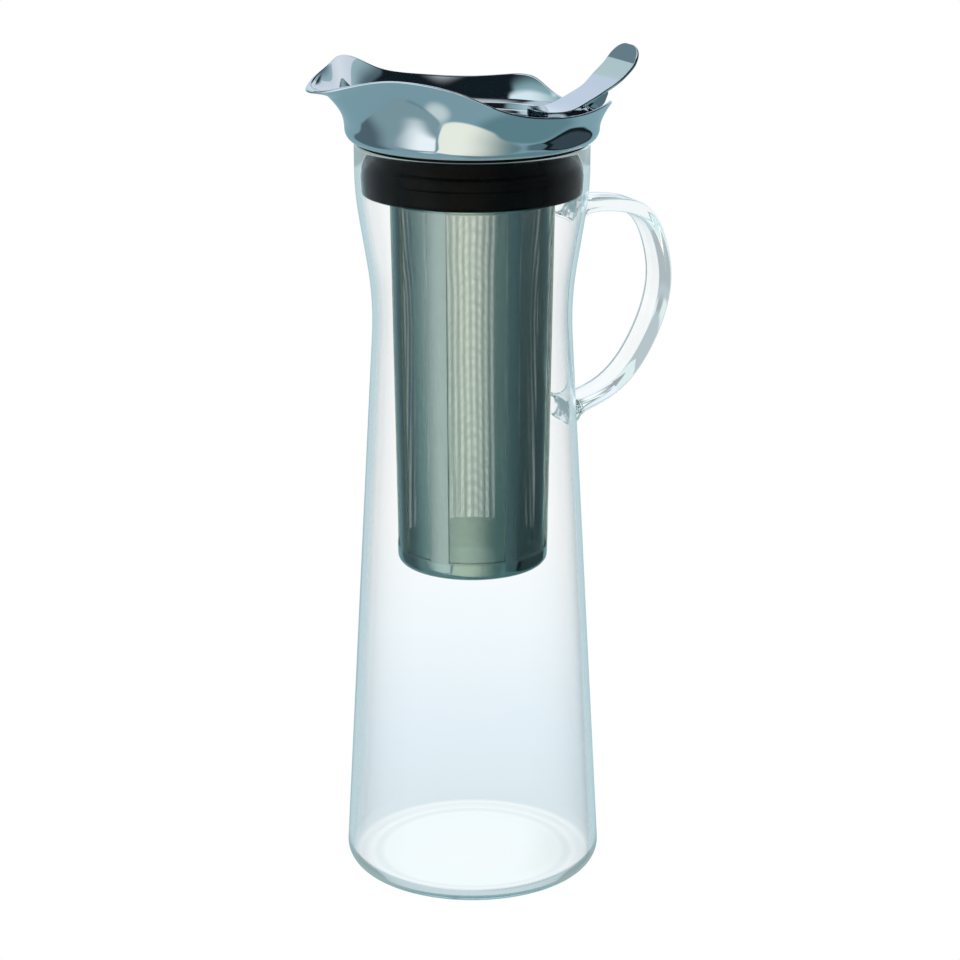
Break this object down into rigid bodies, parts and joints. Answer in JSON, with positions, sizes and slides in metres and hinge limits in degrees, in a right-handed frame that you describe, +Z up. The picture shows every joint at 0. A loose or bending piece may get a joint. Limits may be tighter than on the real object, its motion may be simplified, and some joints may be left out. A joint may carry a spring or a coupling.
{
  "type": "cold brew coffee maker",
  "caption": "Slim waisted glass jug with a strap handle, a steel collar with a pouring beak, a thumb-lever flap and a hanging mesh filter.",
  "frame": {"origin": "centre of the jug's foot, on the surface it stands on", "axes": "+Z up along the jug's axis, +X towards the handle, the beak towards -X"},
  "size_m": [0.1393, 0.102, 0.2997],
  "materials": {
    "jug_glass": "clear, fire-polished",
    "polished_steel": "mirror polished stainless",
    "satin_steel": "satin stainless",
    "steel_mesh": "fine woven stainless mesh",
    "silicone": "smooth moulded",
    "black_moulding": "fine moulded"
  },
  "bodies": {
    "jug": {"glass_body": "jug_glass", "glass_handle": "jug_glass"},
    "lid": {"spout_collar": "polished_steel", "pour_ring": "black_moulding", "lid_gasket": "silicone", "hinge_bracket": "polished_steel", "hinge_pin": "polished_steel"},
    "flap": {"flap_pan": "polished_steel", "thumb_lever": "polished_steel"},
    "filter": {"filter_rim": "satin_steel", "filter_frame": "satin_steel", "filter_mesh": "steel_mesh", "filter_seam": "satin_steel", "filter_cup": "satin_steel"}
  },
  "joints": [
    {"name": "lid_lift", "type": "slide", "parent": "jug", "child": "lid", "axis": [0, 0, 1], "range_m": [0, 0.17]},
    {"name": "flap_hinge", "type": "hinge", "parent": "lid", "child": "flap", "pos_m": [0.0433, 0, 0.2796], "axis": [0, 1, 0], "range_deg": [0, 55]},
    {"name": "filter_pull", "type": "slide", "parent": "lid", "child": "filter", "axis": [0, 0, -1], "range_m": [0, 0.06]}
  ]
}
